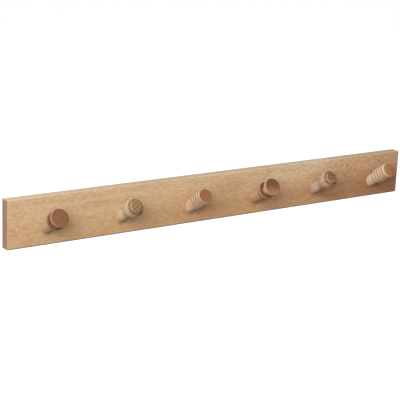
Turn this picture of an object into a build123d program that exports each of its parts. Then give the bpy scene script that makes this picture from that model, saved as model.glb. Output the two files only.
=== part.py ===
from build123d import *
import os

# Wall-hung peg rail: one beech board with six turned pegs of three patterns, each peg glued
# into a slanting socket and pulled up by a wood screw from behind, and two keyhole plates let
# into the back, which drop over two screws in a wall.
#
# Millimetres. The origin is the centre of the board's back face, where it meets the wall:
# +X runs along the rail to the viewer's right, +Y into the wall, +Z up.

# ---- the board ----
RAIL_LENGTH = 820.0
RAIL_HEIGHT = 80.0
RAIL_DEPTH = 18.0
EDGE_ROUND = 1.5  # eased arrises

# ---- where the pegs stand, the same pattern twice from left to right ----
PEG_KINDS = ("disc", "waisted", "ribbed", "disc", "waisted", "ribbed")
PEG_PITCH = RAIL_LENGTH / len(PEG_KINDS)
PEG_HEIGHT = -10.0  # where a peg's axis leaves the front face, from mid height
PEG_TILTS = (29.8, 30.9, 32.5, 30.9, 33.2, 32.8)  # degrees up from level, bored by hand

# Every length along a peg is measured on its axis from the board's front face, and is
# negative inside the board.

# ---- foot of every peg ----
FOOT_START = -11.0  # the turning starts here and is mitred flush with the board
TENON_RADIUS = 6.0
TENON_END = -11.0

# ---- disc peg: stem, trumpet, flange, deep neck, front disc ----
DISC_STEM_RADIUS = 10.0
DISC_FLARE_START = 20.0
DISC_FLARE_END = 33.5
DISC_FLANGE_RADIUS = 15.2
DISC_FLANGE_FRONT = 37.5
DISC_NECK_RADIUS = 7.5
DISC_BACK = 47.5
DISC_FRONT = 55.0
DISC_RADIUS = 15.0
DISC_LIP = 0.8  # rounding of the flange's and the disc's lips
DISC_NECK_ROUND = 1.2  # rounding at the two ends of the neck

# ---- waisted peg: slight bulge, waist, trumpet, round-shouldered head, boss in front ----
WAISTED_FOOT_RADIUS = 8.4
BULGE_RADIUS = 9.3
BULGE_AT = 8.0
WAIST_RADIUS = 8.6
WAIST_AT = 17.5
TRUMPET_RADIUS = 11.5  # steepest place of the trumpet
TRUMPET_AT = 30.0
TRUMPET_SLOPE = 0.31  # growth of the radius along the axis there
HEAD_RADIUS = 15.2
HEAD_AT = 46.0  # widest place, where the trumpet passes into the shoulder
SHOULDER_RADIUS = 12.6  # where the shoulder ends at the head's flat front
HEAD_FRONT = 51.8
BOSS_RADIUS = 10.4
BOSS_FRONT = 55.8
BOSS_LIP = 0.8

# ---- ribbed peg: stem, rounded ribs, plain end ----
RIBBED_STEM_RADIUS = 9.8
RIBS_START = 21.3
RIB_COUNT = 4
RIB_PITCH = 6.9
RIB_WIDTH = 4.6
RIB_CROWN_RADIUS = 13.2
RIB_ROOT_RADIUS = 11.6  # where a rib's rounded top meets its flank
GROOVE_RADIUS = 11.0
RIBBED_FRONT = 54.8
RIBBED_LIP = 0.8

# ---- wood screw behind each peg, on the peg's axis ----
PEG_SCREW_RADIUS = 2.0
PEG_SCREW_HEAD_RADIUS = 4.0
PEG_SCREW_RIM = 0.4
PEG_SCREW_SEAT = -15.2  # where the head's cone runs into the shank
PEG_SCREW_TIP = 22.0
PEG_SCREW_POINT = 4.0
COUNTERBORE_RADIUS = 4.5

# ---- keyhole plates ----
HANGER_SPACING = 550.0
ENTRY_HEIGHT = 9.0  # centre of the entry hole, above mid height
SLOT_RISE = 11.0  # from the entry up to the slot's end, where the wall screw rests
ENTRY_RADIUS = 5.0
SLOT_RADIUS = 2.5
PLATE_HEIGHT = 13.5  # centre of the plate, above mid height
PLATE_LENGTH = 44.0
PLATE_WIDTH = 16.0
PLATE_THICKNESS = 1.8
RECESS_DEPTH = 2.0
RECESS_GAP = 0.15  # between the plate's edge and its recess
POCKET_RADIUS = 6.5
POCKET_DEPTH = 9.0

# ---- small screws that hold the plates ----
PLATE_SCREW_SPACING = 34.0
PLATE_SCREW_RADIUS = 1.5
PLATE_SCREW_HEAD_RADIUS = 3.0
PLATE_SCREW_RIM = 0.2
PLATE_SCREW_TIP = 12.0  # below the board's back face
PLATE_SCREW_POINT = 2.5

# ---- cross recess of every screw, as shares of its head's radius ----
CROSS_WIDTH = 0.26
CROSS_LENGTH = 1.15
CROSS_DEPTH = 0.40

HOLE_GAP = 0.1  # radial, where a screw passes through without biting
CUT_EXTRA = 12.0  # how far a cutting tool runs past the face that it starts from


# ---------------------------------------------------------------- frames

def peg_frame(index):
    """Local Z leaves the front face along the peg's axis."""
    x = (index + 0.5) * PEG_PITCH - RAIL_LENGTH / 2
    return Pos(x, -RAIL_DEPTH, PEG_HEIGHT) * Rot(90 - PEG_TILTS[index], 0, 0)


def back_frame(x, z):
    """On the back face: local Y is up, and local Z goes into the wood."""
    return Pos(x, 0, z) * Rot(90, 0, 0)


# ---------------------------------------------------------------- turned outlines

def at(radius, along):
    """A point of an outline that is turned about local Z."""
    return Vector(radius, 0, along)


def straight(*points):
    return Polyline(*[at(*point) for point in points])


def softened(points, rounds):
    """Straight outline whose inner corners are rounded, one radius for each."""
    return FilletPolyline(*[at(*point) for point in points], radius=rounds)


def turned(*stretches):
    """Solid turned from an outline that starts and ends on the axis."""
    edges = [edge for stretch in stretches for edge in stretch.edges()]
    start, end = stretches[0] @ 0, stretches[-1] @ 1
    return revolve(make_face(Wire(edges + [Edge.make_line(end, start)])), Axis.Z)


def disc_turning():
    foot = straight(
        (0, FOOT_START), (DISC_STEM_RADIUS, FOOT_START), (DISC_STEM_RADIUS, DISC_FLARE_START)
    )
    flare = TangentArc(
        at(DISC_STEM_RADIUS, DISC_FLARE_START),
        at(DISC_FLANGE_RADIUS, DISC_FLARE_END),
        tangent=(0, 0, 1),
    )
    head = softened(
        [
            (DISC_FLANGE_RADIUS, DISC_FLARE_END),
            (DISC_FLANGE_RADIUS, DISC_FLANGE_FRONT),
            (DISC_NECK_RADIUS, DISC_FLANGE_FRONT),
            (DISC_NECK_RADIUS, DISC_BACK),
            (DISC_RADIUS, DISC_BACK),
            (DISC_RADIUS, DISC_FRONT),
            (0, DISC_FRONT),
        ],
        [DISC_LIP, DISC_NECK_ROUND, DISC_NECK_ROUND, DISC_LIP, DISC_LIP],
    )
    return turned(foot, flare, head)


def waisted_turning():
    foot = straight((0, FOOT_START), (WAISTED_FOOT_RADIUS, FOOT_START))
    swell = Spline(
        at(WAISTED_FOOT_RADIUS, FOOT_START),
        at(BULGE_RADIUS, BULGE_AT),
        at(WAIST_RADIUS, WAIST_AT),
        at(TRUMPET_RADIUS, TRUMPET_AT),
        at(HEAD_RADIUS, HEAD_AT),
        tangents=[(0, 0, 1), (0, 0, 1), (0, 0, 1), (TRUMPET_SLOPE, 0, 1), (0, 0, 1)],
    )
    shoulder = TangentArc(
        at(HEAD_RADIUS, HEAD_AT), at(SHOULDER_RADIUS, HEAD_FRONT), tangent=(0, 0, 1)
    )
    step = straight((SHOULDER_RADIUS, HEAD_FRONT), (BOSS_RADIUS, HEAD_FRONT))
    boss = softened(
        [(BOSS_RADIUS, HEAD_FRONT), (BOSS_RADIUS, BOSS_FRONT), (0, BOSS_FRONT)], [BOSS_LIP]
    )
    return turned(foot, swell, shoulder, step, boss)


def ribbed_turning():
    foot = straight(
        (0, FOOT_START), (RIBBED_STEM_RADIUS, FOOT_START), (RIBBED_STEM_RADIUS, RIBS_START)
    )
    stretches = [foot]
    floor = RIBBED_STEM_RADIUS
    for rib in range(RIB_COUNT):
        start = RIBS_START + rib * RIB_PITCH
        middle = start + RIB_WIDTH / 2
        end = start + RIB_WIDTH
        crown = ThreePointArc(
            at(RIB_ROOT_RADIUS, start), at(RIB_CROWN_RADIUS, middle), at(RIB_ROOT_RADIUS, end)
        )
        groove = straight(
            (RIB_ROOT_RADIUS, end), (GROOVE_RADIUS, end), (GROOVE_RADIUS, start + RIB_PITCH)
        )
        stretches += [straight((floor, start), (RIB_ROOT_RADIUS, start)), crown, groove]
        floor = GROOVE_RADIUS
    cap_back = RIBS_START + RIB_COUNT * RIB_PITCH
    cap = softened(
        [
            (GROOVE_RADIUS, cap_back),
            (RIB_CROWN_RADIUS, cap_back),
            (RIB_CROWN_RADIUS, RIBBED_FRONT),
            (0, RIBBED_FRONT),
        ],
        [RIBBED_LIP, RIBBED_LIP],
    )
    return turned(*stretches, cap)


TURNINGS = {"disc": disc_turning, "waisted": waisted_turning, "ribbed": ribbed_turning}


# ---------------------------------------------------------------- screws

def shank(radius, start, tip, point):
    """Screw body with a conical point, also the pilot hole that it fills."""
    return turned(straight((0, start), (radius, start), (radius, tip - point), (0, tip)))


def wood_screw(radius, head_radius, rim, seat, tip, point):
    """Countersunk screw along local Z; its cone runs into the shank at seat."""
    cone = head_radius - radius
    top = seat - cone - rim
    head = turned(
        straight((0, top), (head_radius, top), (head_radius, top + rim), (radius, seat), (0, seat))
    )
    slot = Pos(0, 0, top) * Box(
        CROSS_WIDTH * head_radius, CROSS_LENGTH * head_radius, 2 * CROSS_DEPTH * head_radius
    )
    return head + shank(radius, seat, tip, point) - slot - Rot(0, 0, 90) * slot


def seat_bore(radius, wide_radius, seat, start, end):
    """Clearance hole up to end, with a countersink and a wider hole back to start."""
    through = radius + HOLE_GAP
    return turned(
        straight(
            (0, start),
            (wide_radius, start),
            (wide_radius, seat - (wide_radius - radius)),
            (through, seat - HOLE_GAP),
            (through, end),
            (0, end),
        )
    )


def peg_screw(index):
    return peg_frame(index) * wood_screw(
        PEG_SCREW_RADIUS,
        PEG_SCREW_HEAD_RADIUS,
        PEG_SCREW_RIM,
        PEG_SCREW_SEAT,
        PEG_SCREW_TIP,
        PEG_SCREW_POINT,
    )


def plate_screw(x, z):
    return back_frame(x, z) * wood_screw(
        PLATE_SCREW_RADIUS,
        PLATE_SCREW_HEAD_RADIUS,
        PLATE_SCREW_RIM,
        RECESS_DEPTH,
        PLATE_SCREW_TIP,
        PLATE_SCREW_POINT,
    )


# ---------------------------------------------------------------- pegs

def tenon():
    """Round tenon, long enough to reach well into the peg; the socket has the same shape."""
    return turned(
        straight((0, TENON_END), (TENON_RADIUS, TENON_END), (TENON_RADIUS, CUT_EXTRA), (0, CUT_EXTRA))
    )


def peg(index):
    """Turned peg: mitred to the board, with a round tenon and a pilot hole for its screw."""
    frame = peg_frame(index)
    behind_front_face = Pos(0, CUT_EXTRA - RAIL_DEPTH, 0) * Box(
        2 * RAIL_LENGTH, 2 * CUT_EXTRA, 2 * RAIL_HEIGHT
    )
    pilot = shank(PEG_SCREW_RADIUS, TENON_END - CUT_EXTRA, PEG_SCREW_TIP, PEG_SCREW_POINT)
    body = frame * TURNINGS[PEG_KINDS[index]]() - behind_front_face
    return body + frame * tenon() - frame * pilot


# ---------------------------------------------------------------- keyhole plates

def keyhole(entry_radius, slot_radius):
    """Entry circle with a slot rising from it, drawn about the plate's centre."""
    entry = ENTRY_HEIGHT - PLATE_HEIGHT
    circle = Pos(0, entry) * Circle(entry_radius)
    slot = SlotCenterToCenter(SLOT_RISE, 2 * slot_radius, rotation=90)
    return circle + Pos(0, entry + SLOT_RISE / 2) * slot


def plate_outline(gap):
    return SlotOverall(PLATE_LENGTH + 2 * gap, PLATE_WIDTH + 2 * gap, rotation=90)


def hanger_plate(x):
    frame = back_frame(x, PLATE_HEIGHT)
    outer_face = RECESS_DEPTH - PLATE_THICKNESS
    outline = plate_outline(0) - keyhole(ENTRY_RADIUS, SLOT_RADIUS)
    plate = Pos(0, 0, outer_face) * extrude(outline, PLATE_THICKNESS)
    hole = seat_bore(
        PLATE_SCREW_RADIUS, PLATE_SCREW_HEAD_RADIUS + HOLE_GAP, RECESS_DEPTH, -CUT_EXTRA, CUT_EXTRA
    )
    for side in (-1, 1):
        plate -= Pos(0, side * PLATE_SCREW_SPACING / 2, 0) * hole
    return frame * plate


# ---------------------------------------------------------------- board

def peg_socket():
    """Everything that is bored on one peg's axis: its socket, and the screw's seat from behind."""
    behind = -RAIL_DEPTH - 2 * CUT_EXTRA
    return tenon() + seat_bore(
        PEG_SCREW_RADIUS, COUNTERBORE_RADIUS, PEG_SCREW_SEAT, behind, TENON_END
    )


def hanger_seat():
    """Recess for a plate, the pocket behind its keyhole and pilot holes for its two screws."""
    recess = Pos(0, 0, -CUT_EXTRA) * extrude(plate_outline(RECESS_GAP), RECESS_DEPTH + CUT_EXTRA)
    pocket = extrude(keyhole(POCKET_RADIUS, POCKET_RADIUS), POCKET_DEPTH)
    pilot = shank(PLATE_SCREW_RADIUS, 0, PLATE_SCREW_TIP, PLATE_SCREW_POINT)
    seat = recess + pocket
    for side in (-1, 1):
        seat += Pos(0, side * PLATE_SCREW_SPACING / 2, 0) * pilot
    return seat


def rail_board():
    board = Pos(0, -RAIL_DEPTH / 2, 0) * Box(RAIL_LENGTH, RAIL_DEPTH, RAIL_HEIGHT)
    board = fillet(board.edges(), EDGE_ROUND)
    for index in range(len(PEG_KINDS)):
        board -= peg_frame(index) * peg_socket()
    for side in (-1, 1):
        board -= back_frame(side * HANGER_SPACING / 2, PLATE_HEIGHT) * hanger_seat()
    return board


# ---------------------------------------------------------------- the pieces

pieces = {"rail_board": rail_board()}
for number, kind in enumerate(PEG_KINDS):
    pieces[f"peg_{number + 1}_{kind}"] = peg(number)
    pieces[f"peg_screw_{number + 1}"] = peg_screw(number)
for side, across in (("left", -HANGER_SPACING / 2), ("right", HANGER_SPACING / 2)):
    pieces[f"hanger_plate_{side}"] = hanger_plate(across)
    for place, rise in (("lower", -PLATE_SCREW_SPACING / 2), ("upper", PLATE_SCREW_SPACING / 2)):
        pieces[f"hanger_screw_{side}_{place}"] = plate_screw(across, PLATE_HEIGHT + rise)

os.makedirs("parts", exist_ok=True)
for node, solid in pieces.items():
    export_step(solid, f"parts/{node}.step")
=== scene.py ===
from collections import namedtuple
from math import cos, radians, sin, tan

import bpy
import numpy as np
from mathutils import Matrix, Vector


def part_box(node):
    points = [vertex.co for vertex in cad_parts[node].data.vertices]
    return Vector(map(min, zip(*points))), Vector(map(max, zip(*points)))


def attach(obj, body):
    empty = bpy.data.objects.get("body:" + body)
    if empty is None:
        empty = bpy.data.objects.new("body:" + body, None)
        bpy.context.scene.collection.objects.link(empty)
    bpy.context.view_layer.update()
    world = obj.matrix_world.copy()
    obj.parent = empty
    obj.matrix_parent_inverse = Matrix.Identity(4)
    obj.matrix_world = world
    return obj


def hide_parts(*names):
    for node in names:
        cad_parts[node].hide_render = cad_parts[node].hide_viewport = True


bl_info = {
    "name": "Peg Rail",
    "version": (1, 0, 0),
    "blender": (4, 5, 0),
    "location": "View3D > Sidebar > Peg Rail",
    "description": "Dresses a beech rail with turned pegs and sets up a small studio",
    "category": "Object",
}

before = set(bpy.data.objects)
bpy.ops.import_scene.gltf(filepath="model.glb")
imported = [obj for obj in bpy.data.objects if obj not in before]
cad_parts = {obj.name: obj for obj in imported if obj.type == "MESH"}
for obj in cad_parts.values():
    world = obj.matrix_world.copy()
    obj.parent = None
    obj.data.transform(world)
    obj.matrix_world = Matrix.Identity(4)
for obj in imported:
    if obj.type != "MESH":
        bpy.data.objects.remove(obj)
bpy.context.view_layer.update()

MM = 0.001  # lengths are in metres unless a comment says otherwise

# ---- the board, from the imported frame, and the pegs spread along it ----
BOARD_LOW, BOARD_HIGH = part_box("rail_board")
BOARD_CENTRE = (BOARD_LOW + BOARD_HIGH) / 2
BOARD_HALF = (BOARD_HIGH - BOARD_LOW) / 2
PEG_COUNT = 6
PEG_PITCH = (BOARD_HIGH.x - BOARD_LOW.x) / PEG_COUNT
PEG_HEIGHT = -10 * MM  # where a peg's axis leaves the front face, from mid height

# ---- foot of every peg, along its axis from the board's front face ----
TENON_RADIUS, TENON_END = 6 * MM, -11 * MM
PILOT_RADIUS, PILOT_SHOULDER, PILOT_TIP = 2 * MM, 18 * MM, 22 * MM
FOOT_TOP = 12 * MM  # from this height up a peg's rings are level
FOOT_STRETCH = 32 * MM  # how much of the outline the foot's radii are looked up on
FOOT_GAP = 0.5 * MM  # least way from the foot's last ring to the next
FOOT_ROWS = 14
TENON_ROWS = 4  # rings before the foot: two of the pilot hole and two of the tenon
MITRE_ROUNDS = 6  # passes that settle where a swelling foot meets the board

# ---- rings and edges ----
LONGEST_STEP = 1.0 * MM  # between two rings
SHARP_ANGLE = radians(38)
FULL_LIP = 0.25  # sine of the turn that counts as a full lip
GROOVE_REACH, GROOVE_DEPTH = 9.5 * MM, 1.6 * MM

# ---- outlines of the turnings, in millimetres: places along the axis, radii, roundings ----
BURIED = -9  # a plain stem starts inside the board
EDGE_ROUND = 0.8
DISC_STEM, DISC_FLARE_START, DISC_FLANGE, DISC_FLANGE_WIDTH = 10.0, 20, 15.2, 4
DISC_NECK, DISC_NECK_ROUND, DISC_RADIUS = 7.5, 1.2, 15.0
WAISTED_FOOT, WAISTED_BULGE, WAIST_PLACE = (-11, 8.4), (8, 9.3), 17.5
WAISTED_TRUMPET, WAISTED_SLOPE = (30, 11.5), 0.31
WAISTED_HEAD, WAISTED_SHOULDER = (46, 15.2), (51.8, 12.6)
BOSS_RADIUS, BOSS_ROUNDS = 10.4, (0.35, 0.9)
RIBBED_STEM, RIB_COUNT, RIB_ROOT, RIB_RISE = 9.8, 4, 11.4, 1.8
RIB_GROOVE, RIB_GROOVE_WIDTH, RIBBED_CAP, RIBBED_FRONT_ROUND = 11.0, 2.3, 13.2, 1.5


# ==== outlines of the turnings ====

def line(*points):
    """Corners of a straight outline, each (along, radius) in millimetres."""
    return np.array(points, float) * MM


def ease(start, end, start_slope, end_slope, rows):
    """Cubic curve between two (along, radius) points in millimetres, where the radius grows by the
    two slopes at its ends: r = h00·r0 + h10·L·s0 + h01·r1 + h11·L·s1, with Hermite's four weights."""
    t = np.linspace(0, 1, rows)
    length = end[0] - start[0]
    radius = (
        (2 * t**3 - 3 * t**2 + 1) * start[1]
        + (t**3 - 2 * t**2 + t) * length * start_slope
        + (3 * t**2 - 2 * t**3) * end[1]
        + (t**3 - t**2) * length * end_slope
    )
    return np.column_stack((start[0] + t * length, radius)) * MM


def arc_away(start, end, rows):
    """Arc that leaves start along the axis and reaches end: its centre stands off the axis at
    R = (da² + dr²) / 2dr from start, and the points turn about it by equal angles."""
    da, dr = end[0] - start[0], end[1] - start[1]
    bend = (da * da + dr * dr) / (2 * dr)
    turn = np.linspace(0, np.arctan2(da, bend - dr) if bend > 0 else np.arctan2(da, dr - bend), rows)
    size = abs(bend)
    radius = start[1] + np.sign(bend) * size * (1 - np.cos(turn))
    return np.column_stack((start[0] + size * np.sin(turn), radius)) * MM


def soften(corners, rounds, rows=7):
    """Rounds the corners of an outline by one radius each. With u and v the unit directions from a
    corner back and on, and h half the angle between them, the arc's centre lies at
    corner + (u + v) / |u + v| · round / sin h, and its points swing evenly from one side to the other."""
    corner, rounds = corners[1:-1], np.array(rounds)[:, None] * MM
    back = corners[:-2] - corner
    on = corners[2:] - corner
    back /= np.linalg.norm(back, axis=1, keepdims=True)
    on /= np.linalg.norm(on, axis=1, keepdims=True)
    half = np.arccos(np.clip((back * on).sum(1, keepdims=True), -1, 1)) / 2
    middle = back + on
    middle /= np.linalg.norm(middle, axis=1, keepdims=True)
    centre = corner + middle * rounds / np.sin(half)
    reach = rounds / np.tan(half)
    first, last = corner + back * reach - centre, corner + on * reach - centre
    swing = np.pi - 2 * half
    t = np.linspace(0, 1, rows)[:, None, None]
    arc = (np.sin((1 - t) * swing) * first + np.sin(t * swing) * last) / np.sin(swing)
    points = (centre + arc).transpose(1, 0, 2).reshape(-1, 2)
    return np.vstack((corners[:1], points, corners[-1:]))


def join(*stretches):
    """One outline out of several, without the points that two neighbours share."""
    points = np.vstack(stretches)
    moved = np.linalg.norm(np.diff(points, axis=0), axis=1) > 1e-7
    return points[np.concatenate(([True], moved))]


def split_long(outline, longest):
    """Adds points so that no step along the outline is longer than the given length."""
    steps = np.linalg.norm(np.diff(outline, axis=0), axis=1)
    counts = np.maximum(1, np.ceil(steps / longest)).astype(int)
    which = np.repeat(np.arange(len(counts)), counts)
    share = (np.arange(counts.sum()) - np.repeat(np.cumsum(counts) - counts, counts)) / counts[which]
    points = outline[which] + (outline[which + 1] - outline[which]) * share[:, None]
    return np.vstack((points, outline[-1:]))


def disc_outline(front, back, flange, rounding):
    """Stem, trumpet, flange, deep neck and front disc. Given are the disc's two faces, the flange's
    front face and the rounding of the disc's front edge."""
    flare_start, flare_end = (DISC_FLARE_START, DISC_STEM), (flange - DISC_FLANGE_WIDTH, DISC_FLANGE)
    stem = line((BURIED, DISC_STEM), flare_start)
    flare = arc_away(flare_start, flare_end, 14)
    neck = (flange, DISC_NECK), (back, DISC_NECK)
    disc = (back, DISC_RADIUS), (front, DISC_RADIUS), (front, 0)
    rounds = (EDGE_ROUND, DISC_NECK_ROUND, DISC_NECK_ROUND, EDGE_ROUND, rounding)
    return join(stem, flare, soften(line(flare_end, (flange, DISC_FLANGE), *neck, *disc), rounds))


def waisted_outline(front, waist):
    """Slight bulge, waist, trumpet, round-shouldered head and a smaller boss in front."""
    foot = ease(WAISTED_FOOT, WAISTED_BULGE, 0, 0, 12)
    pinch = ease(WAISTED_BULGE, (WAIST_PLACE, waist), 0, 0, 10)
    rise = ease((WAIST_PLACE, waist), WAISTED_TRUMPET, 0, WAISTED_SLOPE, 12)
    crown = ease(WAISTED_TRUMPET, WAISTED_HEAD, WAISTED_SLOPE, 0, 14)
    shoulder = arc_away(WAISTED_HEAD, WAISTED_SHOULDER, 10)
    boss = line(WAISTED_SHOULDER, (WAISTED_SHOULDER[0], BOSS_RADIUS), (front, BOSS_RADIUS), (front, 0))
    return join(foot, pinch, rise, crown, shoulder, soften(boss, BOSS_ROUNDS))


def ribbed_outline(front, first, pitch):
    """Stem, four rounded ribs and a plain end. The ribs start at first, and each bulges as the square
    root of 1 - u², with u from -1 to 1 along it."""
    width = pitch - RIB_GROOVE_WIDTH
    stem = line((BURIED, RIBBED_STEM), (first, RIBBED_STEM))
    along = np.linspace(0, 1, 13)
    bulge = RIB_ROOT + RIB_RISE * np.sqrt(np.clip(1 - (2 * along - 1) ** 2, 0, 1))
    starts = first + pitch * np.arange(RIB_COUNT)
    ribs = [np.column_stack((start + width * along, bulge)) * MM for start in starts]
    hollows = [line((start + width, RIB_GROOVE), (start + pitch, RIB_GROOVE)) for start in starts]
    turned = [stretch for pair in zip(ribs, hollows) for stretch in pair]
    neck = starts[-1] + pitch
    cap = line((neck, RIB_GROOVE), (neck, RIBBED_CAP), (front, RIBBED_CAP), (front, 0))
    return join(stem, *turned, soften(cap, (EDGE_ROUND, RIBBED_FRONT_ROUND)))


# ==== closed turned pegs ====

def add_object(name, data):
    piece = bpy.data.objects.new(name, data)
    bpy.context.scene.collection.objects.link(piece)
    return piece


def peg_base(number):
    """Where the axis of a peg leaves the board's front face."""
    return BOARD_LOW.x + (number + 0.5) * PEG_PITCH, BOARD_LOW.y, PEG_HEIGHT


def peg_directions(tilt):
    """Axis of a peg that rises by tilt, then the two directions across it; right-handed."""
    axis = np.array((0, -cos(tilt), sin(tilt)))
    across = np.array((1.0, 0, 0))
    return axis, across, np.cross(axis, across)


def turned_rows(outline, tilt, steps):
    """Places (along, radius) of a whole peg on a grid, one row for each ring, from the bottom of the
    pilot hole round the tenon and the mitre to the front. At angle t the skin meets the board where
    along = radius · tan(tilt) · sin t, and the rings of the foot lean from there to level."""
    angle = np.linspace(0, 2 * np.pi, steps, endpoint=False)
    lean = tan(tilt) * np.sin(angle)
    foot = outline[outline[:, 0] <= FOOT_STRETCH]
    meet = np.zeros(steps)
    for _ in range(MITRE_ROUNDS):
        meet = lean * np.interp(meet, foot[:, 0], foot[:, 1])
    share = np.linspace(0, 1, FOOT_ROWS)[:, None]
    skirt = meet + share * (FOOT_TOP - meet)
    skirt_radius = np.interp(skirt, foot[:, 0], foot[:, 1])
    above = split_long(outline[outline[:, 0] > FOOT_TOP + FOOT_GAP][:-1], LONGEST_STEP)
    inside = ((PILOT_SHOULDER, PILOT_RADIUS), (TENON_END, PILOT_RADIUS), (TENON_END, TENON_RADIUS))
    full = np.ones(steps)
    tenon_rows = np.array(inside)[:, :, None] * full
    along = np.vstack((tenon_rows[:, 0], TENON_RADIUS * lean, skirt, above[:, :1] * full))
    radius = np.vstack((tenon_rows[:, 1], TENON_RADIUS * full, skirt_radius, above[:, 1:] * full))
    return along, radius, angle


def lips(along, radius):
    """How sharply each ring of the grid turns outwards, from 0 on a flat or hollow stretch to 1 on
    a lip: the sine of the turn between the steps before and after it. The tenon has none."""
    a, r = np.diff(along, axis=0), np.diff(radius, axis=0)
    length = np.hypot(a, r) + 1e-9
    a, r = a / length, r / length
    turn = np.clip(a[:-1] * -r[1:] + r[:-1] * a[1:], 0, 1)
    mark = np.zeros_like(along)
    mark[TENON_ROWS + 1 : -1] = np.clip(turn[TENON_ROWS:] / FULL_LIP, 0, 1)
    return mark


def grooves(along, radius):
    """How deep each ring lies in a groove, from 0 to 1 at GROOVE_DEPTH: how far its radius falls
    short of both the greatest radius within GROOVE_REACH behind it and the greatest one before it."""
    a, r = along[:, 0], radius[:, 0]
    ahead = a[None, :] - a[:, None]
    behind = np.where((ahead <= 0) & (ahead > -GROOVE_REACH), r, 0).max(1)
    before = np.where((ahead >= 0) & (ahead < GROOVE_REACH), r, 0).max(1)
    depth = np.clip((np.minimum(behind, before) - r) / GROOVE_DEPTH, 0, 1)
    depth[: TENON_ROWS + FOOT_ROWS] = 0
    return depth[:, None] * np.ones_like(along)


def ring_faces(rows, steps):
    """Faces between the rings of a grid, and a fan from its first ring to the point after the grid."""
    index = np.arange(rows * steps).reshape(rows, steps)
    beside = np.roll(index, -1, axis=1)
    quads = np.stack((index[:-1], beside[:-1], beside[1:], index[1:]), -1).reshape(-1, 4)
    fan = np.stack((np.full(steps, rows * steps), beside[0], index[0]), -1)
    return quads.tolist() + fan.tolist()


def closed_rings(name, points, first, last, marks):
    """Mesh object from a grid of rings, closed by a point at each end. Each mark is a value for
    every point of the grid, kept under its name for the material."""
    rows, steps = points.shape[:2]
    ring = np.arange((rows - 1) * steps, rows * steps)
    end = np.stack((ring, np.roll(ring, -1), np.full(steps, rows * steps + 1)), -1)
    mesh = bpy.data.meshes.new(name)
    vertices = np.vstack((points.reshape(-1, 3), first, last))
    mesh.from_pydata(vertices.tolist(), [], ring_faces(rows, steps) + end.tolist())
    mesh.polygons.foreach_set("use_smooth", np.ones(len(mesh.polygons), bool))
    mesh.set_sharp_from_angle(angle=SHARP_ANGLE)
    for mark, values in marks.items():
        kept = mesh.attributes.new(mark, "FLOAT", "POINT")
        kept.data.foreach_set("value", np.concatenate((values.ravel(), (0, 0))).astype(np.float32))
    return add_object(name, mesh)


def turned_peg(number, peg, steps):
    """One peg on its own axis: base + along · axis + radius · (cos t · across + sin t · up)."""
    outline, tilt = OUTLINES[peg.pattern](*peg.sizes), radians(peg.tilt)
    base = np.array(peg_base(number))
    axis, across, up = peg_directions(tilt)
    along, radius, angle = turned_rows(outline, tilt, steps)
    round_it = np.cos(angle)[:, None] * across + np.sin(angle)[:, None] * up
    points = base + along[..., None] * axis + radius[..., None] * round_it
    marks = {"lip": lips(along, radius), "groove": grooves(along, radius)}
    bottom, front = base + PILOT_TIP * axis, base + outline[-1, 0] * axis
    node = f"peg_{number + 1}_{peg.pattern}"
    piece = closed_rings(node + "_turning", points, bottom, front, marks)
    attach(piece, "root")
    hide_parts(node)
    return piece


# ==== node trees ====

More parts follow.
